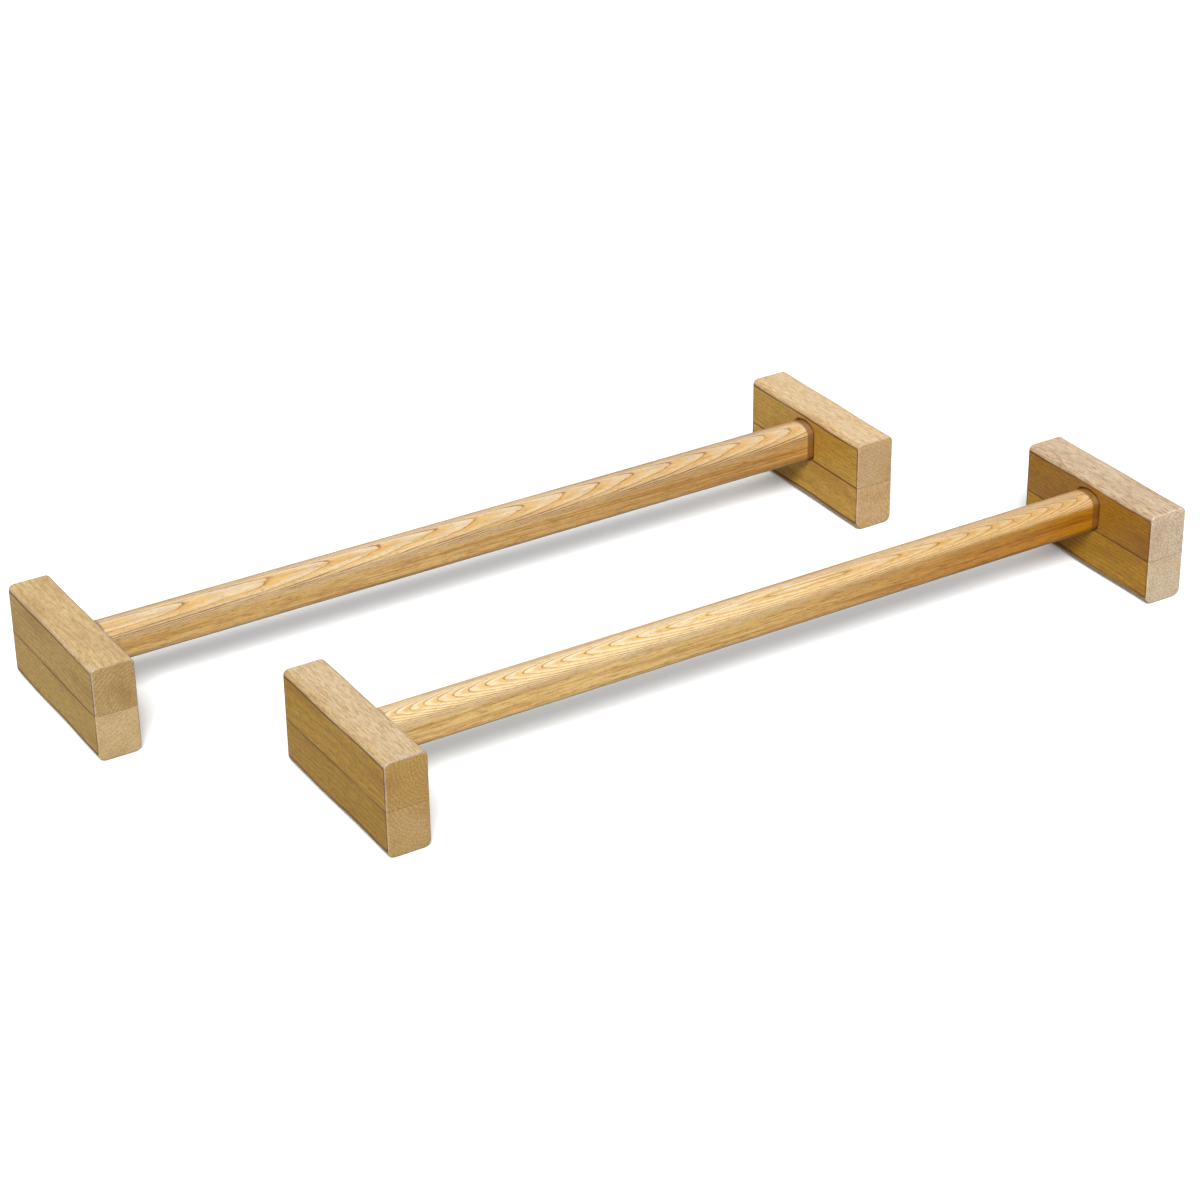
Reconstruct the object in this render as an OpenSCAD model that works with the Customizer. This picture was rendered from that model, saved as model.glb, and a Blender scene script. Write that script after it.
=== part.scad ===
// A pair of low wooden parallel bars for the floor.
// Each bar is one rail let into a blind socket in each of two end blocks.
// X runs along the rails, Y across them, Z up. The origin is on the floor,
// midway between the two bars and midway along the pair.

/* [Rail] */
// Width of a rail over its flat sides
rail_width = 38; // [36:1:44]
// Height of a rail from its flat underside to the top of its crown
rail_height = 46; // [44:1:54]
// Radius of the shallow crown that the palms rest on
crown_radius = 36; // [32:1:60]
// Radius of the shoulders, where the crown turns down into the flat sides
shoulder_radius = 10; // [8:1:12]
// Radius of a rail's two lower edges
lower_edge_radius = 9; // [6:1:12]
// Height of a rail's underside above the floor
grip_clearance = 55; // [48:1:58]

/* [End block] */
// Thickness of an end block, measured along the rail
block_thickness = 50; // [44:1:60]
// Width of an end block, measured across the rail
block_width = 225; // [180:5:300]
// Height of an end block
block_height = 114; // [112:1:130]
// Radius of a block's two long upper edges
top_edge_radius = 7; // [4:1:9]
// Radius of a block's two long lower edges
bottom_edge_radius = 10; // [5:1:12]
// Radius of the sanded edges around a block's two end faces
end_edge_radius = 2; // [1:0.5:4]
// Height of the glue line between a block's two boards
glue_line = 56; // [50:1:75]

/* [Socket] */
// Depth of the blind socket in a block's inner face
socket_depth = 32; // [26:1:36]
// Gap between a rail and the wall of its socket
socket_gap = 0.8; // [0.3:0.1:1.2]

/* [Locking screw] */
// Distance of the screw's axis from the block's inner face
screw_inset = 20; // [18:1:22]
// Diameter of the screw's shank
shank_diameter = 6; // [5:1:8]
// Length of the screw below its head
screw_length = 80; // [70:5:85]
// Diameter of the screw's pan head
head_diameter = 12; // [11:1:14]
// Height of the screw's pan head
head_height = 4; // [3:1:5]

/* [Pair] */
// Length of one bar over both of its end blocks
bar_length = 1038; // [600:2:1200]
// Distance between the centre lines of the two rails
bar_spacing = 333; // [310:1:650]
// Distance by which the front bar stands ahead of the back bar
bar_stagger = 170; // [0:2:200]

/* [Hidden] */
$fn = 96;

rail_wood = "burlywood";
upper_wood = "tan";
lower_wood = "peru";
steel = "silver";

// The rail ends where the sockets end.
rail_length = bar_length - 2 * (block_thickness - socket_depth);
screw_x = bar_length / 2 - block_thickness + screw_inset;
// The counterbore sinks the screw's head below the block's underside.
counterbore_depth = head_height + 4;
counterbore_diameter = head_diameter + 2;
// Clear of the shank all round, in the board and in the rail.
screw_hole_diameter = shank_diameter + 0.4;
point_length = shank_diameter;
hex_key = head_diameter / 3;
// Extra length that takes a cut right through a face.
past = 1;

// A rectangle standing on y = 0, with its own radius at the top corners and at the bottom ones.
module round_cornered(width, height, top_radius, bottom_radius) {
    for (side = [-1, 1]) {
        translate([side * (width / 2 - top_radius), height - top_radius]) circle(r = top_radius);
        translate([side * (width / 2 - bottom_radius), bottom_radius]) circle(r = bottom_radius);
    }
    translate([-width / 2, bottom_radius]) square([width, height - top_radius - bottom_radius]);
    translate([-width / 2 + top_radius, bottom_radius])
        square([width - 2 * top_radius, height - bottom_radius]);
    translate([-width / 2 + bottom_radius, 0])
        square([width - 2 * bottom_radius, height - top_radius]);
}

// The rail's section, grown by a gap all round. Its underside without the gap is at y = 0.
// The crown is a three-centred arch: one wide arc that runs into the two shoulder arcs.
module rail_section(gap = 0) {
    shoulder_x = rail_width / 2 - shoulder_radius;
    crown_y = rail_height - crown_radius;
    shoulder_y = crown_y + sqrt(pow(crown_radius - shoulder_radius, 2) - pow(shoulder_x, 2));
    wedge = 2 * crown_radius / (shoulder_y - crown_y);
    lower_x = rail_width / 2 - lower_edge_radius;
    intersection() {
        translate([0, crown_y]) circle(r = crown_radius + gap);
        polygon([
            [0, crown_y],
            [wedge * shoulder_x, crown_y + wedge * (shoulder_y - crown_y)],
            [-wedge * shoulder_x, crown_y + wedge * (shoulder_y - crown_y)]
        ]);
    }
    for (side = [-1, 1]) {
        translate([side * shoulder_x, shoulder_y]) circle(r = shoulder_radius + gap);
        translate([side * lower_x, lower_edge_radius]) circle(r = lower_edge_radius + gap);
    }
    translate([-rail_width / 2 - gap, lower_edge_radius])
        square([rail_width + 2 * gap, shoulder_y - lower_edge_radius]);
    translate([-lower_x, -gap]) square([2 * lower_x, shoulder_y + gap]);
}

// Extrudes a section drawn across the rail for a length along X, from x = 0.
module along_x(length) {
    rotate([90, 0, 90]) linear_extrude(height = length) children();
}

// Extrudes a section drawn in X and Z for a length along Y, centred on y = 0.
module along_y(length) {
    rotate([90, 0, 0]) linear_extrude(height = length, center = true) children();
}

// A glued-up end block before it is bored: long edges rounded over, end faces eased all round.
module shaped_block() {
    intersection() {
        along_y(block_width)
            round_cornered(block_thickness, block_height, top_edge_radius, bottom_edge_radius);
        translate([-block_thickness / 2, 0, 0]) along_x(block_thickness)
            round_cornered(block_width, block_height, end_edge_radius, end_edge_radius);
        translate([0, -block_width / 2, 0]) linear_extrude(height = block_height)
            round_cornered(block_thickness, block_width, end_edge_radius, end_edge_radius);
    }
}

// The blind socket in the left block's inner face.
module socket() {
    translate([bar_length / -2 + block_thickness - socket_depth, 0, grip_clearance])
        along_x(socket_depth + past) rail_section(socket_gap);
}

// The hole for a locking screw, with a flat-bottomed counterbore for its head.
module screw_hole() {
    translate([-screw_x, 0, -past]) cylinder(d = counterbore_diameter, h = counterbore_depth + past);
    translate([-screw_x, 0, counterbore_depth])
        cylinder(d = screw_hole_diameter, h = screw_length + past);
}

// The left end block of a bar, with its socket and screw hole.
module left_block() {
    difference() {
        translate([(block_thickness - bar_length) / 2, 0, 0]) shaped_block();
        socket();
        screw_hole();
    }
}

// The slice of the left block between two heights.
module left_board(bottom, top) {
    intersection() {
        left_block();
        translate([-bar_length / 2, -block_width / 2, bottom])
            cube([block_thickness, block_width, top - bottom]);
    }
}

module upper_board() {
    color(upper_wood) left_board(glue_line, block_height);
}

module lower_board() {
    color(lower_wood) left_board(0, glue_line);
}

// One rail, bored from below at each end for its locking screws.
module rail() {
    color(rail_wood) difference() {
        translate([-rail_length / 2, 0, grip_clearance]) along_x(rail_length) rail_section();
        for (side = [-1, 1])
            translate([side * screw_x, 0, 0])
                cylinder(d = screw_hole_diameter, h = counterbore_depth + screw_length + past);
    }
}

// A pan-head wood screw with a hexagon socket, standing on its head's lower side at z = 0.
module locking_screw() {
    difference() {
        cylinder(d = head_diameter, h = head_height);
        translate([0, 0, -past]) cylinder(d = hex_key, h = head_height / 2 + past, $fn = 6);
    }
    translate([0, 0, head_height]) cylinder(d = shank_diameter, h = screw_length - point_length);
    translate([0, 0, head_height + screw_length - point_length])
        cylinder(d1 = shank_diameter, d2 = shank_diameter / 4, h = point_length);
}

// The two screws that lock one rail into its blocks, driven up from below.
module locking_screws() {
    color(steel)
        for (side = [-1, 1])
            translate([side * screw_x, 0, counterbore_depth - head_height]) locking_screw();
}

// Places a bar, or a piece of it, at the back or at the front of the pair.
module at_back() {
    translate([-bar_stagger / 2, bar_spacing / 2, 0]) children();
}

module at_front() {
    translate([bar_stagger / 2, -bar_spacing / 2, 0]) children();
}

// Turns a left-hand piece into the right-hand one.
module right() {
    mirror([1, 0, 0]) children();
}

at_back() rail();  // back_rail
at_back() upper_board();  // back_left_upper_board
at_back() lower_board();  // back_left_lower_board
at_back() right() upper_board();  // back_right_upper_board
at_back() right() lower_board();  // back_right_lower_board
at_back() locking_screws();  // back_locking_screws
at_front() rail();  // front_rail
at_front() upper_board();  // front_left_upper_board
at_front() lower_board();  // front_left_lower_board
at_front() right() upper_board();  // front_right_upper_board
at_front() right() lower_board();  // front_right_lower_board
at_front() locking_screws();  // front_locking_screws
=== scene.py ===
import math

import bpy
import numpy as np
from mathutils import Matrix, Vector


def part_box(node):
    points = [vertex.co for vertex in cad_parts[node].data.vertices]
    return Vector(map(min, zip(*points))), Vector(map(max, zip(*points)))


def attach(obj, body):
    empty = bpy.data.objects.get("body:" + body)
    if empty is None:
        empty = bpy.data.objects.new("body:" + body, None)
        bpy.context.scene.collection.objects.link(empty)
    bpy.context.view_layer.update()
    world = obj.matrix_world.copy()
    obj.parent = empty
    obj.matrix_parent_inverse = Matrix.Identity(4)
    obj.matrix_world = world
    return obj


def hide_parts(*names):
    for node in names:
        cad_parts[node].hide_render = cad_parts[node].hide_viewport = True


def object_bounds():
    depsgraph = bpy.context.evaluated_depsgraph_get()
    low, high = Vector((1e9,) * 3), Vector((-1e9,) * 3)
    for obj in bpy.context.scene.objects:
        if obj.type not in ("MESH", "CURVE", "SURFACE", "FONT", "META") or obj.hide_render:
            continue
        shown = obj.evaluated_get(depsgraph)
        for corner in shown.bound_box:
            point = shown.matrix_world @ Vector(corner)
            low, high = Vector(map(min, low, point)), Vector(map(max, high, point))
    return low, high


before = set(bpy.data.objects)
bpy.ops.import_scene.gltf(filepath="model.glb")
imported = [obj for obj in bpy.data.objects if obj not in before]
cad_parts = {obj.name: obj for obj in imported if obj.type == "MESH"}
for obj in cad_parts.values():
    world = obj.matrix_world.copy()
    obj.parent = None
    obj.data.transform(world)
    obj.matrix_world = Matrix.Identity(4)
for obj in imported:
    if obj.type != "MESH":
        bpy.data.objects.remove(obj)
cad_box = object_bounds()
MM = 0.001


# ---- The two rails ---------------------------------------------------------------------------
# Each rail is one length of ash, planed to the gymnastics bar section: flat sides, a shallow crown
# for the palms and rounded lower edges. It is sanded by hand, lacquered, and glued into its blocks.

CROWN_RADIUS = 36 * MM
SHOULDER_RADIUS = 10 * MM
LOWER_EDGE_RADIUS = 9 * MM
SANDING_DEPTH = 0.25 * MM
SEAT_LENGTH = 32 * MM
# How far along a rail the painted shade beside each block reaches.
SOCKET_SHADE_REACH = 9 * MM
PITH_SIDE = 12 * MM
PORE_LINE = 1.8 * MM
RAIL_STATIONS = 260
ARC_POINTS = 10
LOWER_ARC_POINTS = 9
SIDE_POINTS = 7
SANDING_WAVES = 4
SANDING_PACE = 8.0
END_CHAMFER = 1 * MM
SHARP_ANGLE = math.radians(35)


def arc(centre, radius, start, stop, count):
    """Points at centre + radius (cos a, sin a), for count angles a from start to stop."""
    angle = np.linspace(start, stop, count)
    return np.column_stack((centre[0] + radius * np.cos(angle), centre[1] + radius * np.sin(angle)))


def line(start, stop, count):
    """Count points spaced evenly from start to stop, both included."""
    return np.linspace(start, stop, count)


def mirrored(points):
    """The same points reflected in y = 0 and taken in the opposite order."""
    return points[::-1] * (-1, 1)


def section_centres(low, high):
    """Centres of the lower arc, shoulder arc and crown arc of a rail between two (y, z) corners.
    The shoulder arc touches the crown arc from inside, so their centres are crown - shoulder apart."""
    half = (high[0] - low[0]) / 2
    lower = (half - LOWER_EDGE_RADIUS, low[1] + LOWER_EDGE_RADIUS)
    crown = (0.0, high[1] - CROWN_RADIUS)
    across = half - SHOULDER_RADIUS
    rise = math.sqrt((CROWN_RADIUS - SHOULDER_RADIUS) ** 2 - across**2)
    return lower, (across, crown[1] + rise), crown


def upper_section(low, high, grown, start):
    """Right half of the rail section grown by a gap, from an angle on the lower arc up to the crown:
    lower arc, straight side, shoulder arc, crown arc, each running smoothly into the next."""
    lower, shoulder, crown = section_centres(low, high)
    side = (high[0] - low[0]) / 2 + grown
    turn = math.atan2(shoulder[1] - crown[1], shoulder[0])
    return np.vstack((
        arc(lower, LOWER_EDGE_RADIUS + grown, start, 0, LOWER_ARC_POINTS)[:-1],
        line((side, lower[1]), (side, shoulder[1]), SIDE_POINTS),
        arc(shoulder, SHOULDER_RADIUS + grown, 0, turn, ARC_POINTS)[1:],
        arc(crown, CROWN_RADIUS + grown, turn, math.pi / 2, ARC_POINTS)[1:],
    ))


def hand_sanding(along, around, seed):
    """Depth of wood sanded away, from 0 to SANDING_DEPTH: slow sine waves that run along and around
    the piece, each with half the weight of the one before and its own random phase."""
    phase = np.random.default_rng(seed).uniform(0, 2 * math.pi, SANDING_WAVES)
    weight = 0.5 ** np.arange(SANDING_WAVES)
    waves = sum(
        weight[k] * np.sin((k + 1) * (SANDING_PACE * along + around) + phase[k])
        for k in range(SANDING_WAVES)
    )
    return SANDING_DEPTH * (0.5 + 0.5 * waves / weight.sum())


def ring_faces(stations, around):
    """Four-sided faces between each ring of points and the next, for rings that run anticlockwise
    seen from the end that they advance towards, as an array of shape (stations - 1, around, 4)."""
    i, j = np.meshgrid(np.arange(stations - 1), np.arange(around), indexing="ij")
    k = (j + 1) % around
    return np.stack((i * around + j, i * around + k, (i + 1) * around + k, (i + 1) * around + j), -1)


def make_piece(name, points, faces, body, nodes, material):
    """Puts a mesh into the scene as a smooth piece that rides on a body and stands for CAD nodes."""
    mesh = bpy.data.meshes.new(name)
    mesh.from_pydata(points.tolist(), [], faces)
    mesh.shade_smooth()
    mesh.set_sharp_from_angle(angle=SHARP_ANGLE)
    mesh.materials.append(material)
    piece = bpy.data.objects.new(name, mesh)
    bpy.context.scene.collection.objects.link(piece)
    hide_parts(*nodes)
    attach(piece, body)
    return piece


def make_rail(bar, material, seed):
    """The bar section carried along X: point (i, j) is section point j at station i, moved towards
    the section's middle by the sanding depth there. The end rings are smaller by the end chamfer."""
    low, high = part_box(bar + "_rail")
    middle_y = (low.y + high.y) / 2
    middle_z = (low.z + high.z) / 2
    right = upper_section((low.y, low.z), (high.y, high.z), 0.0, -math.pi / 2)
    outline = np.vstack((right, mirrored(right)[1:])) - (0, middle_z)
    planed = line(low.x + END_CHAMFER, high.x - END_CHAMFER, RAIL_STATIONS)
    x = np.concatenate(([low.x], planed, [high.x]))
    radius = np.hypot(outline[:, 0], outline[:, 1])
    around = np.arctan2(outline[:, 1], outline[:, 0])
    depth = hand_sanding(x[:, None], around[None, :], seed)
    depth[[0, -1]] = END_CHAMFER
    shrink = 1 - depth / radius
    rings = np.stack((
        np.broadcast_to(x[:, None], shrink.shape),
        middle_y + outline[:, 0] * shrink,
        middle_z + outline[:, 1] * shrink,
    ), -1)
    count = len(outline)
    faces = ring_faces(len(x), count).reshape(-1, 4).tolist()
    faces.append(np.arange(count)[::-1].tolist())
    faces.append(((len(x) - 1) * count + np.arange(count)).tolist())
    points = rings.reshape(-1, 3)
    make_piece(bar + "_ash_rail", points, faces, bar + "_bar", [bar + "_rail"], material)


def blank_material(name):
    """A node material with only a Principled surface: returns the material, its tree, the surface."""
    material = bpy.data.materials.new(name)
    material.use_nodes = True
    tree = material.node_tree
    surface = tree.nodes["Principled BSDF"]
    return material, tree, surface


def feed(tree, socket, value):
    """Links another node's output into a socket, or sets the socket to a plain value."""
    if isinstance(value, bpy.types.NodeSocket):
        tree.links.new(value, socket)
    else:
        socket.default_value = value


def calc(tree, operation, a, b=0.0, c=0.0):
    """One Math node."""
    made = tree.nodes.new("ShaderNodeMath")
    made.operation = operation
    for socket, value in zip(made.inputs, (a, b, c)):
        feed(tree, socket, value)
    return made.outputs[0]


def stretched(tree, vector, scale, shift=(0, 0, 0)):
    """The place of a point, multiplied by a scale along each axis and then shifted."""
    made = tree.nodes.new("ShaderNodeMapping")
    feed(tree, made.inputs["Vector"], vector)
    made.inputs["Scale"].default_value = scale
    made.inputs["Location"].default_value = shift
    return made.outputs[0]


def noise(tree, vector, detail=2.0, roughness=0.5):
    """Smooth noise around 0.5, one wave per unit of its vector."""
    made = tree.nodes.new("ShaderNodeTexNoise")
    feed(tree, made.inputs["Vector"], vector)
    made.inputs["Scale"].default_value = 1.0
    made.inputs["Detail"].default_value = detail
    made.inputs["Roughness"].default_value = roughness
    return made.outputs[0]


def spread(tree, value, low, high):
    """A value between low and high, taken smoothly to between 0 and 1."""
    made = tree.nodes.new("ShaderNodeMapRange")
    made.interpolation_type = "SMOOTHSTEP"
    feed(tree, made.inputs["Value"], value)
    feed(tree, made.inputs["From Min"], low)
    feed(tree, made.inputs["From Max"], high)
    return made.outputs[0]


def ramp(tree, value, stops):
    """A colour for each value, read off a list of (value, colour) stops."""
    made = tree.nodes.new("ShaderNodeValToRGB")
    feed(tree, made.inputs[0], value)
    band = made.color_ramp
    while len(band.elements) < len(stops):
        band.elements.new(1.0)
    for element, (position, colour) in zip(band.elements, stops):
        element.position = position
        element.color = (*colour, 1.0)
    return made.outputs[0]


def blended(tree, share, first, second, way="MIX"):
    """Two colours mixed by a share, which is a number or another node's output."""
    made = tree.nodes.new("ShaderNodeMix")
    made.data_type = "RGBA"
    made.blend_type = way
    feed(tree, made.inputs[0], share)
    for socket, colour in ((made.inputs[6], first), (made.inputs[7], second)):
        feed(tree, socket, colour if isinstance(colour, bpy.types.NodeSocket) else (*colour, 1.0))
    return made.outputs[2]


def relief(tree, surface, height, depth):
    """Raises and sinks the surface by a height from 0 to 1 times a depth in metres."""
    made = tree.nodes.new("ShaderNodeBump")
    made.inputs["Strength"].default_value = 1.0
    made.inputs["Distance"].default_value = depth
    feed(tree, made.inputs["Height"], height)
    tree.links.new(made.outputs[0], surface.inputs["Normal"])


def distance_from(tree, place, axis):
    """How far a point is from a straight line along X, Y or Z: the one whose share in axis is None."""
    scale = tuple(0.0 if share is None else 1.0 for share in axis)
    shift = tuple(0.0 if share is None else -share for share in axis)
    made = tree.nodes.new("ShaderNodeVectorMath")
    made.operation = "LENGTH"
    feed(tree, made.inputs[0], stretched(tree, place, scale, shift))
    return made.outputs["Value"]


def growth_rings(tree, place, pith, ring_width, wander):
    """Ring number of a point: its distance from the pith line, plus how far the rings wander there,
    over the width of a ring. The pith runs along the axis whose share in pith is None."""
    distance = calc(tree, "ADD", distance_from(tree, place, pith), wander)
    return calc(tree, "DIVIDE", distance, ring_width)


def painted_socket_shade(tree, place, rail_low, rail_high):
    """How much painted shade a point of a rail gets beside its blocks, which shade it there: 1 where it
    enters a block, and 0 from the shade's reach outside, by its distance from the rail's middle."""
    middle = (rail_low.x + rail_high.x) / 2
    inner_face = (rail_high.x - rail_low.x) / 2 - SEAT_LENGTH
    parts = tree.nodes.new("ShaderNodeSeparateXYZ")
    feed(tree, parts.inputs[0], place)
    from_middle = calc(tree, "ABSOLUTE", calc(tree, "SUBTRACT", parts.outputs[0], middle))
    return spread(tree, from_middle, inner_face - SOCKET_SHADE_REACH, inner_face - 0.75 * SOCKET_SHADE_REACH)


def ash(
    bar, seed, ring_width, pith_rise, trough, tilt, bend, first_ring, cream, gold, line_strength, heart
):
    """Ash lacquered clear. The rings curve round a pith above the crown and rise by tilt x + bend x^2
    along the rail, because the tree leaned and bent. They also curl by (d / trough)^4 of a ring at a
    distance d from the flames' axis, which runs along the front of the crown, so that the surface
    cuts them into round-tipped flames, cream inside and edged by a brown line of pores PORE_LINE
    wide. Beyond the flames the rings are cut edge on, as straight lines and short dark dashes, which
    are noise drawn out along the rail. Heartwood makes the rail browner towards its right end."""
    line_brown = (0.25, 0.095, 0.014)
    edge_brown = (0.38, 0.19, 0.04)
    rail_low, rail_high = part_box(bar + "_rail")
    middle_x = (rail_low.x + rail_high.x) / 2
    pith_y = (rail_low.y + rail_high.y) / 2 - PITH_SIDE
    material, tree, surface = blank_material(bar + "_rail_ash")
    place = tree.nodes.new("ShaderNodeTexCoord").outputs["Object"]
    shift = (seed * 7.3, seed * 3.1, seed * 5.7)
    parts = tree.nodes.new("ShaderNodeSeparateXYZ")
    feed(tree, parts.inputs[0], place)
    along = calc(tree, "SUBTRACT", parts.outputs[0], middle_x)
    flame_axis = (None, pith_y, rail_high.z - PITH_SIDE**2 / (2 * CROWN_RADIUS))
    across = distance_from(tree, place, flame_axis)
    on_crown = spread(tree, parts.outputs[2], rail_high.z - 14 * MM, rail_high.z - 8 * MM)
    in_flames = spread(tree, across, 1.5 * trough, 1.2 * trough)

    rising = calc(tree, "MULTIPLY", along, calc(tree, "MULTIPLY_ADD", along, -bend, -tilt))
    curl = calc(tree, "POWER", calc(tree, "DIVIDE", across, trough), 4.0)
    wander = calc(tree, "MULTIPLY_ADD", curl, ring_width, rising)
    slow, middling, fine = ((4, 8, 8), 1.3), ((11, 55, 55), 0.75), ((60, 300, 300), 0.15)
    for stretch, rings in (slow, middling, fine):
        waves = noise(tree, stretched(tree, place, stretch, shift), 1.0)
        wander = calc(tree, "MULTIPLY_ADD", waves, rings * ring_width, wander)
    pith = (None, pith_y, rail_high.z + pith_rise)
    ring = calc(tree, "ADD", growth_rings(tree, place, pith, ring_width, wander), first_ring)
    phase = calc(tree, "FRACT", ring)
    flames = ramp(tree, phase, [
        (0.0, edge_brown), (0.12, gold), (0.35, gold), (0.62, cream), (0.95, cream), (1.0, gold),
    ])
    slope = calc(tree, "ABSOLUTE", calc(tree, "MULTIPLY_ADD", along, 2 * bend, tilt))
    crowding = calc(tree, "MULTIPLY", calc(tree, "POWER", across, 3.0), 4 / trough**4)
    crowding = calc(tree, "MULTIPLY_ADD", slope, 1 / ring_width, crowding)
    line_share = calc(tree, "MINIMUM", calc(tree, "MULTIPLY", crowding, PORE_LINE), 0.35)
    line = spread(tree, phase, line_share, calc(tree, "MULTIPLY", line_share, 0.5))
    fading = noise(tree, stretched(tree, place, (14, 90, 90), shift), 2.0)
    line = calc(tree, "MULTIPLY", line, spread(tree, fading, 0.72, 0.45))
    flames = blended(tree, calc(tree, "MULTIPLY", line, line_strength), flames, line_brown)

    edge_on = noise(tree, stretched(tree, place, (3.5, 330, 330), shift), 2.0, 0.6)
    edge_share = calc(tree, "MULTIPLY", spread(tree, edge_on, 0.52, 0.6), 0.6)
    sides = blended(tree, edge_share, gold, edge_brown)
    colour = blended(tree, in_flames, sides, flames)
    bands = noise(tree, stretched(tree, place, (6, 150, 150), shift), 3.0, 0.6)
    band_share = calc(tree, "MULTIPLY", spread(tree, bands, 0.5, 0.72), 0.4)
    colour = blended(tree, band_share, colour, (0.44, 0.22, 0.045))
    pale_band_share = calc(tree, "MULTIPLY", spread(tree, bands, 0.46, 0.3), 0.3)
    colour = blended(tree, pale_band_share, colour, (0.76, 0.56, 0.28))
    dashes = noise(tree, stretched(tree, place, (48, 620, 620), shift), 3.0, 0.7)
    dash_share = calc(tree, "MULTIPLY", spread(tree, dashes, 0.52, 0.64), 0.6)
    dash_share = calc(tree, "MULTIPLY", dash_share, calc(tree, "MULTIPLY_ADD", in_flames, -0.55, 1.0))
    colour = blended(tree, dash_share, colour, (0.33, 0.15, 0.025))
    pale_share = calc(tree, "MULTIPLY", spread(tree, dashes, 0.47, 0.32), 0.5)
    colour = blended(tree, pale_share, colour, (1.3, 1.27, 1.2), "MULTIPLY")
    pores = noise(tree, stretched(tree, place, (170, 1500, 1500), shift), 1.0)
    pore_share = calc(tree, "MULTIPLY", spread(tree, pores, 0.6, 0.7), 0.5)
    colour = blended(tree, pore_share, colour, (0.22, 0.09, 0.015))
    heart_share = calc(tree, "MULTIPLY_ADD", on_crown, -0.5 * heart, heart)
    heart_share = calc(tree, "MULTIPLY", heart_share, spread(tree, along, -0.2, 0.45))
    colour = blended(tree, heart_share, colour, (0.60, 0.36, 0.03), "MULTIPLY")
    # Painted shade: the rail is darkened brown just outside each block, where the block shades it.
    socket_shade = calc(tree, "MULTIPLY", painted_socket_shade(tree, place, rail_low, rail_high), 0.78)
    colour = blended(tree, socket_shade, colour, (0.17, 0.06, 0.008))
    tree.links.new(colour, surface.inputs["Base Color"])
    shine = calc(tree, "MULTIPLY_ADD", dashes, 0.2, 0.28)
    tree.links.new(shine, surface.inputs["Roughness"])
    surface.inputs["Coat Weight"].default_value = 0.2
    surface.inputs["Coat Roughness"].default_value = 0.22
    relief(tree, surface, calc(tree, "MULTIPLY_ADD", pores, -0.5, dashes), 0.1 * MM)
    return material


# How each rail was cut from its tree, how pale its flames and its sides are, how strong the flames'
# brown lines are and how much heartwood it has. The first ring's number sets where the flames lie.
RAIL_CUTS = {
    "back": {
        "ring_width": 7 * MM, "pith_rise": 200 * MM, "trough": 13 * MM, "tilt": -0.116, "bend": -0.071,
        "first_ring": 0.0, "cream": (0.63, 0.495, 0.31), "gold": (0.63, 0.40, 0.145),
        "line_strength": 1.0, "heart": 0.45,
    },
    "front": {
        "ring_width": 3 * MM, "pith_rise": 12 * MM, "trough": 12.5 * MM, "tilt": 0.022, "bend": -0.184,
        "first_ring": 0.6, "cream": (0.76, 0.61, 0.385), "gold": (0.71, 0.475, 0.18),
        "line_strength": 0.65, "heart": 1.0,
    },
}
for number, (bar, cut) in enumerate(RAIL_CUTS.items(), start=1):
    make_rail(bar, ash(bar, float(number), **cut), 10 + number)


# ---- The end blocks' boards ------------------------------------------------------------------
# Each end block is glued up from two beech boards, one on the other, then rounded over along its
# long edges, eased at its ends and routed from the inside to take the rail. The lacquer is satin.

TOP_EDGE_RADIUS = 7 * MM
BOTTOM_EDGE_RADIUS = 10 * MM
END_EDGE_RADIUS = 2 * MM
SEAM_EDGE_RADIUS = 0.3 * MM
SOCKET_GAP = 0.8 * MM
SOCKET_DEPTH = 32 * MM
SOCKET_WALL = 0.02 * MM
SOCKET_RIM = 1 * MM
SUPPORT = 1.5 * MM
SCREW_INSET = 20 * MM
COUNTERBORE_RADIUS = 7 * MM
COUNTERBORE_DEPTH = 8 * MM
HOLE_SQUARE = 9 * MM
RIM_DEPTH = 0.25 * MM
EDGE_WEAR = 0.6
EDGE_WAVER = 0.09
WAVER_PACE = 45.0


def rounding(depth, radius):
    """How far a quarter-round edge stands back from its square corner, at a depth below the face:
    radius - sqrt(radius^2 - (radius - depth)^2), and nothing once the depth passes the radius."""
    left = np.clip(radius - depth, 0, radius)
    return radius - np.sqrt(np.maximum(radius**2 - left**2, 0))


def socket_path(rail_low, rail_high, grown, seam, up):
    """The socket's outline on one side of the glue line, as (y, distance from the glue line), left
    to right. It starts and ends where the lower arc crosses the glue line: over the rail for an
    upper board (up is 1), under it for a lower one (up is -1)."""
    lower = section_centres(rail_low, rail_high)[0]
    radius = LOWER_EDGE_RADIUS + grown
    crossing = math.asin((seam - lower[1]) / radius)
    if up > 0:
        right = upper_section(rail_low, rail_high, grown, crossing)
        path = np.vstack((right * (-1, 1), right[::-1][1:]))
    else:
        right = arc(lower, radius, crossing, -math.pi / 2, LOWER_ARC_POINTS)
        path = np.vstack((right * (-1, 1), right[::-1]))
    return np.column_stack((path[:, 0], up * (path[:, 1] - seam)))


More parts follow.
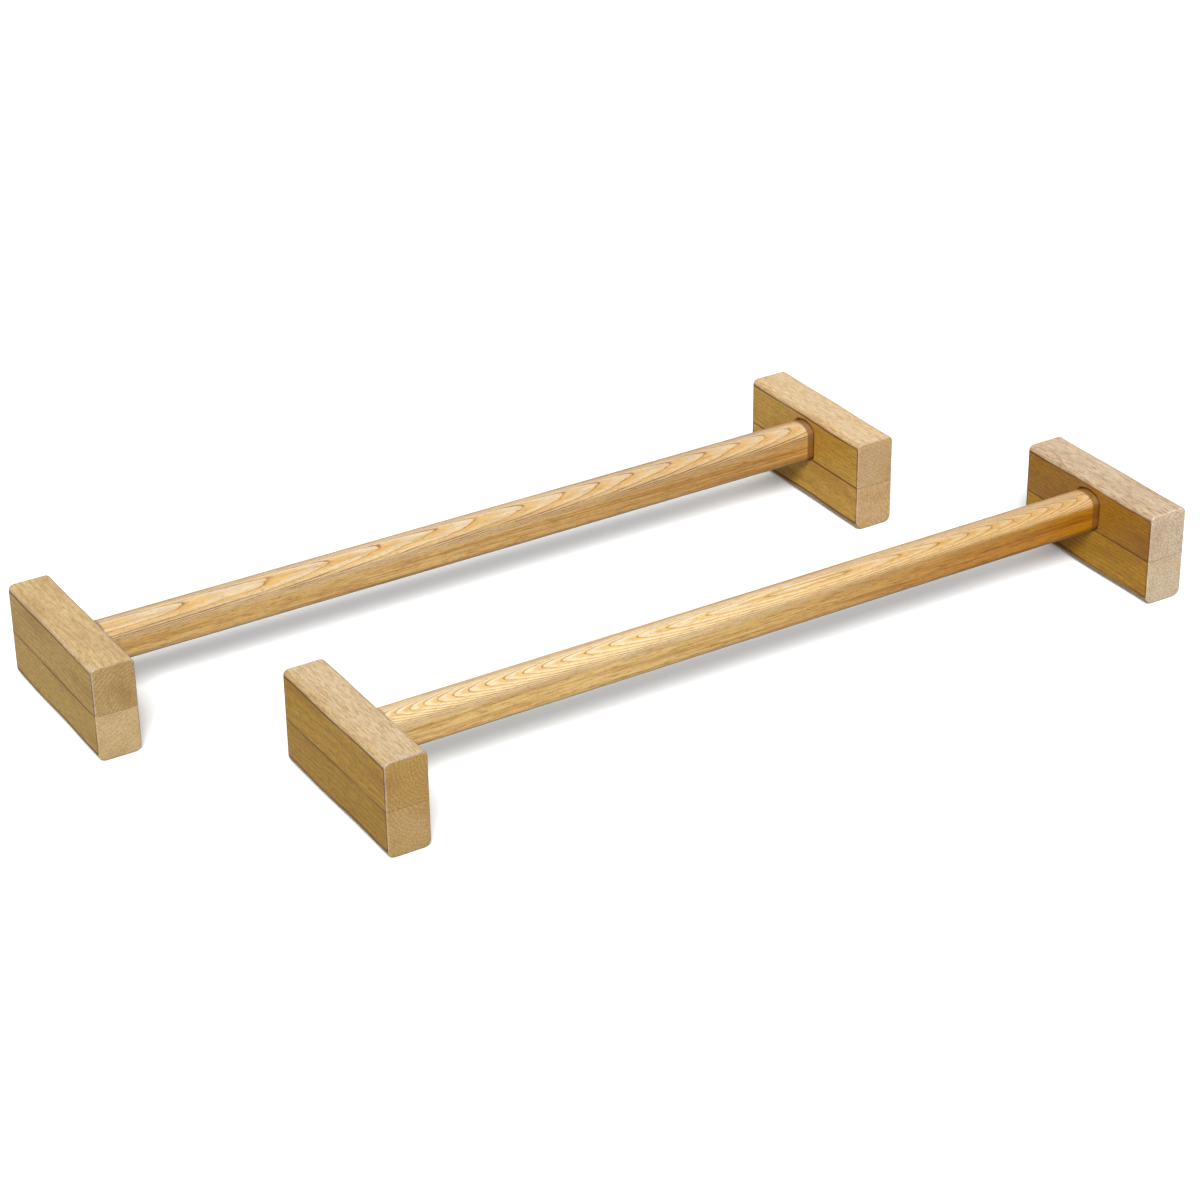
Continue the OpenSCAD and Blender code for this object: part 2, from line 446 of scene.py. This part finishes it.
def board_outline(half, height, path):
    """Outline of a board as (y, distance from the glue line), from the socket's left end round to
    its start again: along the glue line to the right, up the right end, back along the far edge and
    down the left end. Also says which points lie on the far edge and which on an end."""
    seam = SEAM_EDGE_RADIUS
    corner = END_EDGE_RADIUS
    inner = half - corner
    glue = line((path[-1, 0], 0), (half - seam, 0), 5)[1:]
    end = line((half, seam), (half, height - corner), 6)
    turn = arc((inner, height - corner), corner, 0, math.pi / 2, 6)[1:]
    spaced = line(inner - 4 * SUPPORT, HOLE_SQUARE, 20)
    beside = np.concatenate(([inner - SUPPORT], spaced, [HOLE_SQUARE / 2]))
    beside = np.column_stack((beside, np.full(len(beside), height)))
    right = np.vstack((glue, end, turn, beside))
    outline = np.vstack((path, right, [[0, height]], mirrored(right)))
    on_far = np.isclose(outline[:, 1], height)
    on_end = np.isclose(abs(outline[:, 0]), half) & (outline[:, 1] > 0)
    on_turn = (abs(outline[:, 0]) > inner) & (outline[:, 1] > height - corner)
    return outline, on_far | on_turn, on_end | on_turn


def board_stations(thickness, far_radius):
    """Distances from the inner face at which a board's outline is drawn: close together where an
    edge turns, then at the screw's square and on both sides of the socket's end wall, which leans
    by SOCKET_WALL, and close together again towards the outer face. Equal distances are merged."""
    turn = 1 - np.cos(line(0, math.pi / 2, 9))
    near = np.concatenate([radius * turn for radius in (SEAM_EDGE_RADIUS, END_EDGE_RADIUS, far_radius)])
    near = np.unique(np.round(np.append(near, far_radius + 1 * MM), 7))
    square = (SCREW_INSET - HOLE_SQUARE, SCREW_INSET + HOLE_SQUARE)
    end_wall = (SOCKET_DEPTH, SOCKET_DEPTH + SOCKET_WALL)
    inner = np.unique(np.round(np.concatenate((near, square, end_wall)), 7))
    return np.concatenate((inner, thickness - near[::-1]))


def edge_wear(depth, radius):
    """How worn a rounded edge is at a depth below the face: EDGE_WEAR sin 2a, where a is the angle
    that the quarter round has turned there, so it is most in the middle of the round."""
    turned = np.arccos(np.clip(1 - depth / radius, 0, 1))
    return EDGE_WEAR * np.sin(2 * turned)


def screw_counterbore(first, square, height, sides=32):
    """A flat-bottomed round hole in a square of the underside, as points (distance from the inner
    face, y, distance from the glue line): circles at the chamfer's mouth, its foot and the floor.
    The faces join the circles to each other, and the outermost one to the square's ten points."""
    angle = line(0, 2 * math.pi, sides + 1)[:-1]
    chamfer = 0.3 * MM
    mouth = COUNTERBORE_RADIUS + chamfer
    circles = ((mouth, 0), (COUNTERBORE_RADIUS, chamfer), (COUNTERBORE_RADIUS, COUNTERBORE_DEPTH))
    rings = np.array([
        np.column_stack((SCREW_INSET + r * np.cos(angle), r * np.sin(angle), np.full(sides, height - d)))
        for r, d in circles
    ])
    half = sides // 2
    ring = first + np.arange(sides)
    faces = (first + ring_faces(len(circles), sides)).reshape(-1, 4).tolist()
    faces.append((ring + (len(circles) - 1) * sides).tolist())
    faces.append(square[:6] + [first] + ring[:half - 1:-1].tolist())
    faces.append(square[5:] + square[:1] + ring[half::-1].tolist())
    return rings.reshape(-1, 3), faces


def make_board(bar, side, level, far_wear_and_sheen, end_wear_and_light, material, seed):
    """A board's outline carried through the block's thickness. Point (i, j) is outline point j at
    station i, moved inwards by the rounding of the edge it lies on. The socket's stretch of the
    outline follows the rail's section as far as the socket's end, and lies along the glue line
    beyond it. Two more rings lie in the faces, to keep them flat, and one flat face closes each.
    Three values are kept at each point: how pale it is made, by rubbing on the edges and, on the
    tops and ends, partly by painted sheen and light; how near it is to a face's rim; and whether it
    lies on an end."""
    node = f"{bar}_{side}_{level}_board"
    up = 1 if level == "upper" else -1
    outward = 1 if side == "right" else -1
    low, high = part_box(node)
    rail_low, rail_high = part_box(bar + "_rail")
    middle_y = (low.y + high.y) / 2
    half = (high.y - low.y) / 2
    height = high.z - low.z
    thickness = high.x - low.x
    seam = low.z if up > 0 else high.z
    inner_x = low.x if outward > 0 else high.x
    rail_corners = ((rail_low.y - middle_y, rail_low.z), (rail_high.y - middle_y, rail_high.z))
    far_radius = TOP_EDGE_RADIUS if up > 0 else BOTTOM_EDGE_RADIUS

    plain_path = socket_path(*rail_corners, SOCKET_GAP, seam, up)
    outline, on_far, on_end = board_outline(half, height, plain_path)
    count = len(outline)
    in_socket = len(plain_path)
    stations = board_stations(thickness, far_radius)
    socket_end = int(np.flatnonzero(np.isclose(stations, SOCKET_DEPTH))[0])
    phase = np.random.default_rng(seed).uniform(0, 2 * math.pi)
    local_radius = far_radius * (1 + EDGE_WAVER * np.sin(WAVER_PACE * outline[:, 0] + phase))

    extra = np.zeros(len(stations) + 2)
    extra[[0, -1]] = SUPPORT
    stations = np.concatenate((stations[:1], stations, stations[-1:]))
    depth = np.minimum(stations, thickness - stations)[:, None]
    far_inset = rounding(depth, local_radius[None, :]) + extra[:, None]
    end_inset = rounding(depth, END_EDGE_RADIUS) + extra[:, None]
    seam_inset = rounding(depth, SEAM_EDGE_RADIUS) + extra[:, None]
    y = outline[:, 0] * (1 - end_inset / half)
    h = seam_inset + outline[:, 1] * (1 - (far_inset + seam_inset) / height)
    for i in range(len(stations)):
        if i <= socket_end + 1:
            grown = SOCKET_GAP + rounding(depth[i, 0], SOCKET_RIM) + extra[i]
            path = socket_path(*rail_corners, grown, seam + up * seam_inset[i, 0], up)
        else:
            path = line((plain_path[0, 0], 0), (plain_path[-1, 0], 0), in_socket)
        y[i, :in_socket] = path[:, 0]
        h[i, :in_socket] = path[:, 1] + seam_inset[i]

    points = np.stack((np.broadcast_to(stations[:, None], y.shape), y, h), -1).reshape(-1, 3)
    # Paler tops and ends: partly rubbing, partly painted sheen and light.
    wear_and_light = np.maximum(
        np.maximum(edge_wear(depth, local_radius), far_wear_and_sheen) * on_far,
        np.maximum(edge_wear(depth, END_EDGE_RADIUS), end_wear_and_light) * on_end,
    )
    wear_and_light = (wear_and_light * (depth > 0)).ravel()
    rim = np.clip(1 - depth / RIM_DEPTH, 0, 1) * (extra[:, None] == 0)
    rim = np.broadcast_to(rim, y.shape).ravel()
    end = (on_end * (depth > 0)).astype(float).ravel()

    cells = ring_faces(len(stations), count)
    faces = [np.arange(count)[::-1].tolist(), ((len(stations) - 1) * count + np.arange(count)).tolist()]
    if level == "lower":
        station = int(np.flatnonzero(np.isclose(stations, SCREW_INSET - HOLE_SQUARE))[0])
        across = np.flatnonzero(on_far & (abs(outline[:, 0]) < HOLE_SQUARE + 1e-6))
        near = (station * count + across).tolist()
        square = near[2:] + [point + count for point in near[::-1]] + near[:2]
        hole_points, hole_faces = screw_counterbore(len(points), square, height)
        cells[station, across[:-1]] = -1
        points = np.vstack((points, hole_points))
        faces += hole_faces
    faces += [cell for cell in cells.reshape(-1, 4).tolist() if cell[0] >= 0]
    if up * outward < 0:
        faces = [face[::-1] for face in faces]
    points = points * (outward, 1, up) + (inner_x, middle_y, seam)
    name = f"{bar}_{side}_{level}_beech_board"
    piece = make_piece(name, points, faces, bar + "_bar", [node], material)
    for attribute_name, values in (("wear_and_light", wear_and_light), ("rim", rim), ("end", end)):
        attribute = piece.data.attributes.new(attribute_name, "FLOAT", "POINT")
        attribute.data.foreach_set("value", np.append(values, np.zeros(len(points) - len(values))))


def share_of(tree, attribute_name):
    """The piece's own value of that name at each point."""
    made = tree.nodes.new("ShaderNodeAttribute")
    made.attribute_name = attribute_name
    return made.outputs["Fac"]


def beech(name, pith, glue_line, tone, end_shade, seed):
    """Beech lacquered clear, its grain along Y. The rings show as soft lines along the faces and as
    arcs across the ends. Short dark flecks lie along the grain everywhere, fine fibres between them,
    and a pin knot here and there. The tops, the ends and most of all the rounded edges are paler: on
    the edges where hands and dust have rubbed through the yellowed lacquer, and on the tops and ends
    partly from that rubbing and partly as painted sheen and light. Lacquer that gathered in the glue
    line has gone brown. The rims of the faces are darkened brown, and round the socket that dark rim
    is painted shade of the crevice. End grain that soaked up lacquer is darker and greyer, by the
    share end_shade."""
    base = tuple(channel * share for channel, share in zip((0.50, 0.29, 0.042), tone))
    pale = tuple(channel * share for channel, share in zip((0.60, 0.38, 0.085), tone))
    dark = tuple(channel * share for channel, share in zip((0.33, 0.155, 0.018), tone))
    # The pale colour of rubbed wood, also used as painted sheen and light on the tops and ends.
    bare_and_lit = (0.61, 0.505, 0.37)
    material, tree, surface = blank_material(name)
    place = tree.nodes.new("ShaderNodeTexCoord").outputs["Object"]
    shift = (seed * 5.9, seed * 8.3, seed * 2.7)
    slow = noise(tree, stretched(tree, place, (14, 5, 14), shift), 1.0)
    fine = noise(tree, stretched(tree, place, (160, 25, 160), shift), 3.0, 0.6)
    wander = calc(tree, "MULTIPLY", slow, 22 * MM)
    wander = calc(tree, "MULTIPLY_ADD", fine, 2.4 * MM, wander)
    ring = growth_rings(tree, place, pith, 4.4 * MM, wander)
    phase = calc(tree, "FRACT", ring)
    colour = ramp(tree, phase, [(0.0, dark), (0.12, base), (0.5, pale), (0.82, base), (1.0, dark)])
    strength = noise(tree, stretched(tree, place, (26, 6, 26), shift), 1.0)
    colour = blended(tree, calc(tree, "MULTIPLY_ADD", strength, -0.9, 0.95), colour, base)
    clouds = noise(tree, stretched(tree, place, (34, 9, 34), shift), 3.0)
    colour = blended(tree, calc(tree, "MULTIPLY", spread(tree, clouds, 0.45, 0.75), 0.6), colour, dark)
    # Paler where rubbed, with painted sheen and light on the tops and ends.
    worn_and_lit = share_of(tree, "wear_and_light")
    worn_and_lit_share = calc(tree, "MULTIPLY", worn_and_lit, calc(tree, "MULTIPLY_ADD", clouds, -0.8, 1.3))
    colour = blended(tree, calc(tree, "MINIMUM", worn_and_lit_share, 1.0), colour, bare_and_lit)
    fibres = noise(tree, stretched(tree, place, (700, 60, 700), shift), 3.0, 0.7)
    fibre_share = calc(tree, "MULTIPLY", spread(tree, fibres, 0.48, 0.66), 0.65)
    colour = blended(tree, fibre_share, colour, dark)
    pale_share = calc(tree, "MULTIPLY", spread(tree, fibres, 0.5, 0.28), 0.4)
    colour = blended(tree, pale_share, colour, (1.5, 1.45, 1.3), "MULTIPLY")
    flecks = noise(tree, stretched(tree, place, (480, 120, 480), shift), 3.0, 0.7)
    fleck_share = calc(tree, "MULTIPLY", spread(tree, flecks, 0.52, 0.62), 0.62)
    fleck_share = calc(tree, "MULTIPLY", fleck_share, calc(tree, "MULTIPLY_ADD", worn_and_lit, -0.6, 1.0))
    colour = blended(tree, fleck_share, colour, dark)
    shaded = calc(tree, "MULTIPLY", share_of(tree, "end"), end_shade)
    colour = blended(tree, shaded, colour, (0.84, 0.89, 1.28), "MULTIPLY")
    parts = tree.nodes.new("ShaderNodeSeparateXYZ")
    feed(tree, parts.inputs[0], place)
    from_seam = calc(tree, "ABSOLUTE", calc(tree, "SUBTRACT", parts.outputs[2], glue_line))
    in_seam = calc(tree, "MULTIPLY", spread(tree, from_seam, 0.9 * MM, 0.2 * MM), 0.45)
    # Darker brown in the glue line and along the rims of the faces; round the socket this dark rim is
    # painted shade of the crevice where the rail enters.
    dark_seam_and_rims = calc(tree, "MAXIMUM", in_seam, spread(tree, share_of(tree, "rim"), 0.15, 0.6))
    dark_seam_and_rims = calc(tree, "MULTIPLY", dark_seam_and_rims, spread(tree, clouds, 0.2, 0.55))
    colour = blended(tree, calc(tree, "MULTIPLY", dark_seam_and_rims, 0.92), colour, (0.15, 0.055, 0.008))
    knots = tree.nodes.new("ShaderNodeTexVoronoi")
    feed(tree, knots.inputs["Vector"], stretched(tree, place, (11, 11, 11), shift))
    knots.inputs["Scale"].default_value = 1.0
    knot = calc(tree, "SUBTRACT", 1.0, spread(tree, knots.outputs["Distance"], 0.015, 0.03))
    colour = blended(tree, calc(tree, "MULTIPLY", knot, 0.8), colour, (0.10, 0.04, 0.012))
    tree.links.new(colour, surface.inputs["Base Color"])
    shine = calc(tree, "MULTIPLY_ADD", flecks, 0.25, 0.33)
    tree.links.new(shine, surface.inputs["Roughness"])
    surface.inputs["Coat Weight"].default_value = 0.12
    surface.inputs["Coat Roughness"].default_value = 0.3
    relief(tree, surface, calc(tree, "MULTIPLY_ADD", flecks, -0.6, fibres), 0.1 * MM)
    return material


# How each board was cut: the pith's distance in x and z from the board's middle, how red, green and
# blue the board is, how pale its flat top and its ends are, from rubbing and from painted sheen and
# light, and how far its end grain is shaded. A near pith gives tight end arcs.
BOARD_CUTS = {
    ("back", "left", "upper"): (0.055, -0.060, (1.04, 1.13, 1.65), 0.34, 0.08, 1.0),
    ("back", "left", "lower"): (-0.030, 0.075, (1.03, 1.12, 1.45), 0.0, 0.54, 0.0),
    ("back", "right", "upper"): (-0.048, -0.070, (1.13, 1.11, 0.95), 0.58, 0.42, 0.5),
    ("back", "right", "lower"): (0.060, 0.030, (1.20, 1.17, 1.15), 0.0, 0.38, 0.5),
    ("front", "left", "upper"): (0.034, 0.020, (0.98, 0.94, 0.48), 0.62, 0.12, 1.0),
    ("front", "left", "lower"): (0.028, 0.052, (0.87, 0.82, 0.32), 0.0, 0.32, 0.2),
    ("front", "right", "upper"): (-0.070, -0.110, (0.78, 0.62, 0.22), 0.76, 1.0, 0.0),
    ("front", "right", "lower"): (0.045, -0.085, (0.95, 0.84, 0.15), 0.0, 1.0, 0.0),
}
for number, ((bar, side, level), cut) in enumerate(BOARD_CUTS.items(), start=1):
    pith_x, pith_z, tone, top_wear_and_sheen, end_wear_and_light, end_shade = cut
    low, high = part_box(f"{bar}_{side}_{level}_board")
    pith = ((low.x + high.x) / 2 + pith_x, None, (low.z + high.z) / 2 + pith_z)
    glue_line = low.z if level == "upper" else high.z
    finish = beech(f"{bar}_{side}_{level}_beech", pith, glue_line, tone, end_shade, float(number))
    make_board(bar, side, level, top_wear_and_sheen, end_wear_and_light, finish, 20 + number)


# ---- The locking screws ----------------------------------------------------------------------
# A zinc-plated wood screw goes up through each lower board into the rail's seated end. Its pan head
# has a hexagon socket and sits at the bottom of the counterbore; it was turned, and its thread rolled.

THREAD_PITCH = 2.6 * MM
THREAD_CORE = 2.2 * MM
SHANK_RADIUS = 3 * MM
HEAD_RADIUS = 6 * MM
HEAD_HEIGHT = 4 * MM
HEX_APOTHEM = 1.73 * MM
PLAIN_SHANK = 14 * MM
POINT_LENGTH = 7 * MM
HEAD_ROUND = 1.2 * MM
HEX_CHAMFER = 0.2 * MM
THREAD_RUN_IN = 0.3 * MM
RINGS_A_TURN = 9


def thread_radius(height, angle, tip):
    """Core radius plus a ridge that climbs one pitch a turn: the ridge is a sharp tent function of
    height / pitch - angle / 2 pi, and the whole runs out to a point over the last stretch."""
    turn = np.mod(height / THREAD_PITCH - angle / (2 * math.pi), 1.0)
    tent = 1 - abs(2 * turn - 1)
    ridge = np.clip((tent - 0.5) / 0.5, 0, 1)
    point = np.clip((tip - height) / POINT_LENGTH, 0.08, 1)
    return (THREAD_CORE + (SHANK_RADIUS - THREAD_CORE) * ridge) * point


def screw_points(bottom, tip, sides=36):
    """Rings of a screw standing on its head: the hexagon socket's floor and mouth, the head's face,
    rounded rim and seat, the plain shank and the thread, as (radius, height) at each angle."""
    angle = line(0, 2 * math.pi, sides + 1)[:-1]
    hexagon = HEX_APOTHEM / np.cos(np.mod(angle, math.pi / 3) - math.pi / 6)
    seat = bottom + HEAD_HEIGHT
    rim = arc((HEAD_RADIUS - HEAD_ROUND, bottom + HEAD_ROUND), HEAD_ROUND, -math.pi / 2, 0, 6)
    rings = [(hexagon, bottom + HEAD_HEIGHT / 2), (hexagon, bottom), (hexagon + HEX_CHAMFER, bottom)]
    rings += [(radius, height) for radius, height in rim]
    rings += [(HEAD_RADIUS, seat), (SHANK_RADIUS, seat), (SHANK_RADIUS, seat + PLAIN_SHANK)]
    thread_foot = seat + PLAIN_SHANK + THREAD_RUN_IN
    for height in np.arange(thread_foot, tip, THREAD_PITCH / RINGS_A_TURN):
        rings.append((thread_radius(height, angle, tip), height))
    radius = np.array([np.broadcast_to(radius, sides) for radius, _ in rings])
    height = np.array([height for _, height in rings])
    return np.stack((
        radius * np.cos(angle), radius * np.sin(angle), np.broadcast_to(height[:, None], radius.shape),
    ), -1)


def zinc_plate():
    """Bright zinc over steel: metal, with fine turning marks round the screw's own height and a
    faintly blotchy roughness."""
    material, tree, surface = blank_material("zinc_plated_steel")
    place = tree.nodes.new("ShaderNodeTexCoord").outputs["Object"]
    blotches = noise(tree, stretched(tree, place, (400, 400, 400)), 2.0)
    marks = noise(tree, stretched(tree, place, (150, 150, 6000)), 2.0)
    colour = blended(tree, blotches, (0.50, 0.50, 0.52), (0.72, 0.72, 0.74))
    tree.links.new(colour, surface.inputs["Base Color"])
    surface.inputs["Metallic"].default_value = 1.0
    tree.links.new(calc(tree, "MULTIPLY_ADD", blotches, 0.3, 0.2), surface.inputs["Roughness"])
    relief(tree, surface, marks, 0.02 * MM)
    return material


def make_screws(bar, material):
    """Both screws of a bar as one piece, each the same rings set down on its own axis."""
    low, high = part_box(bar + "_locking_screws")
    middle_y = (low.y + high.y) / 2
    rings = screw_points(low.z, high.z)
    stations, sides = rings.shape[:2]
    shape = ring_faces(stations, sides).reshape(-1, 4).tolist()
    shape.append(np.arange(sides)[::-1].tolist())
    shape.append(((stations - 1) * sides + np.arange(sides)).tolist())
    axes = (low.x + HEAD_RADIUS, high.x - HEAD_RADIUS)
    points = np.vstack([rings.reshape(-1, 3) + (x, middle_y, 0) for x in axes])
    faces = [[point + k * stations * sides for point in face] for k in range(len(axes)) for face in shape]
    nodes = [bar + "_locking_screws"]
    make_piece(bar + "_zinc_screws", points, faces, bar + "_bar", nodes, material)


zinc = zinc_plate()
for bar in ("back", "front"):
    make_screws(bar, zinc)


# ---- The studio ------------------------------------------------------------------------------
# The bars stand on a white lit floor under one wide soft lamp, high at the front left. A big weak
# softbox behind them puts a sheen on their tops, and an even white surround fills the shadows.

FLOOR_HALF_SIDE = 15.0
FLOOR_DROP = 0.2 * MM
LAMP_DISTANCE = 4.0
SOFTBOX_DISTANCE = 3.6


def seen_or(tree, seen_value, other_value):
    """One value where the surface is seen directly, and another in all the light it passes on."""
    seen = tree.nodes.new("ShaderNodeLightPath").outputs["Is Camera Ray"]
    return calc(tree, "MULTIPLY_ADD", seen, seen_value - other_value, other_value)


def lit_floor(middle):
    """A flat square just below the bars. It is white and glows a little, but passes little of the
    light on, so that the sides of the bars keep their depth."""
    corners = [(-1, -1), (1, -1), (1, 1), (-1, 1)]
    points = [(*(middle.xy + FLOOR_HALF_SIDE * Vector(corner)), -FLOOR_DROP) for corner in corners]
    mesh = bpy.data.meshes.new("studio_floor")
    mesh.from_pydata(points, [], [(0, 1, 2, 3)])
    floor = bpy.data.objects.new("studio_floor", mesh)
    bpy.context.scene.collection.objects.link(floor)
    material, tree, surface = blank_material("floor_paint")
    tree.links.new(seen_or(tree, 0.93, 0.34), surface.inputs["Base Color"])
    tree.links.new(seen_or(tree, 0.18, 0.0), surface.inputs["Emission Strength"])
    surface.inputs["Emission Color"].default_value = (0.92, 0.97, 1.0, 1.0)
    surface.inputs["Roughness"].default_value = 0.9
    surface.inputs["Specular IOR Level"].default_value = 0.0
    mesh.materials.append(material)


def hang(name, lamp, place, aim):
    """Hangs a lamp at a place, facing the point that it is aimed at."""
    holder = bpy.data.objects.new(name, lamp)
    holder.location = place
    holder.rotation_euler = (Vector(place) - Vector(aim)).to_track_quat("Z", "Y").to_euler()
    bpy.context.scene.collection.objects.link(holder)


def direction(azimuth, elevation):
    """Unit vector towards a point of the sky: azimuth in degrees round from the front, to the right."""
    a, e = math.radians(azimuth), math.radians(elevation)
    return Vector((math.sin(a) * math.cos(e), -math.cos(a) * math.cos(e), math.sin(e)))


def white_surround(strength):
    """Even light from all round. Seen straight on it is plain white, whatever light it gives."""
    world = bpy.data.worlds.new("white_surround")
    bpy.context.scene.world = world
    world.use_nodes = True
    tree = world.node_tree
    shade = tree.nodes["Background"]
    shade.inputs["Color"].default_value = (1.0, 1.0, 1.0, 1.0)
    tree.links.new(seen_or(tree, 1.0, strength), shade.inputs["Strength"])


low, high = cad_box
centre = Vector(((low[0] + high[0]) / 2, (low[1] + high[1]) / 2, 0))
lit_floor(centre)
key = bpy.data.lights.new("wide_soft_lamp", "SUN")
key.angle = math.radians(24)
key.energy = 3.9
hang("wide_soft_lamp", key, centre + LAMP_DISTANCE * direction(-31, 48), centre)
sheen = bpy.data.lights.new("rear_softbox", "AREA")
sheen.shape = "SQUARE"
sheen.size = 2.6
sheen.energy = 24
hang("rear_softbox", sheen, centre + SOFTBOX_DISTANCE * direction(150, 32), centre)
white_surround(0.3)
bpy.context.scene.view_settings.view_transform = "Standard"


# ---- The camera ------------------------------------------------------------------------------
# A long lens, well above the floor and off to the front left, aimed near the back rail's middle.

AZIMUTH = -31.2
ELEVATION = 28.6
ROLL = math.radians(-0.81)
DISTANCE = 3.795
LENS = 97.8
RIGHT_OF_AIM = 0.1499
BELOW_AIM = 0.0063

rail_low, rail_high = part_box("back_rail")
aim = Vector(((rail_low.x + rail_high.x) / 2, (rail_low.y + rail_high.y) / 2, 0))
back = direction(AZIMUTH, ELEVATION)
level_right = Vector((0, 0, 1)).cross(back).normalized()
level_up = back.cross(level_right)
right = math.cos(ROLL) * level_right + math.sin(ROLL) * level_up
up = math.cos(ROLL) * level_up - math.sin(ROLL) * level_right
lens = bpy.data.cameras.new("studio_camera")
lens.sensor_width = 36
lens.lens = LENS
camera = bpy.data.objects.new("studio_camera", lens)
place = aim + RIGHT_OF_AIM * right - BELOW_AIM * up + DISTANCE * back
turn = Matrix((right, up, back)).transposed().to_4x4()
camera.matrix_world = Matrix.Translation(place) @ turn
bpy.context.scene.collection.objects.link(camera)
bpy.context.scene.camera = camera
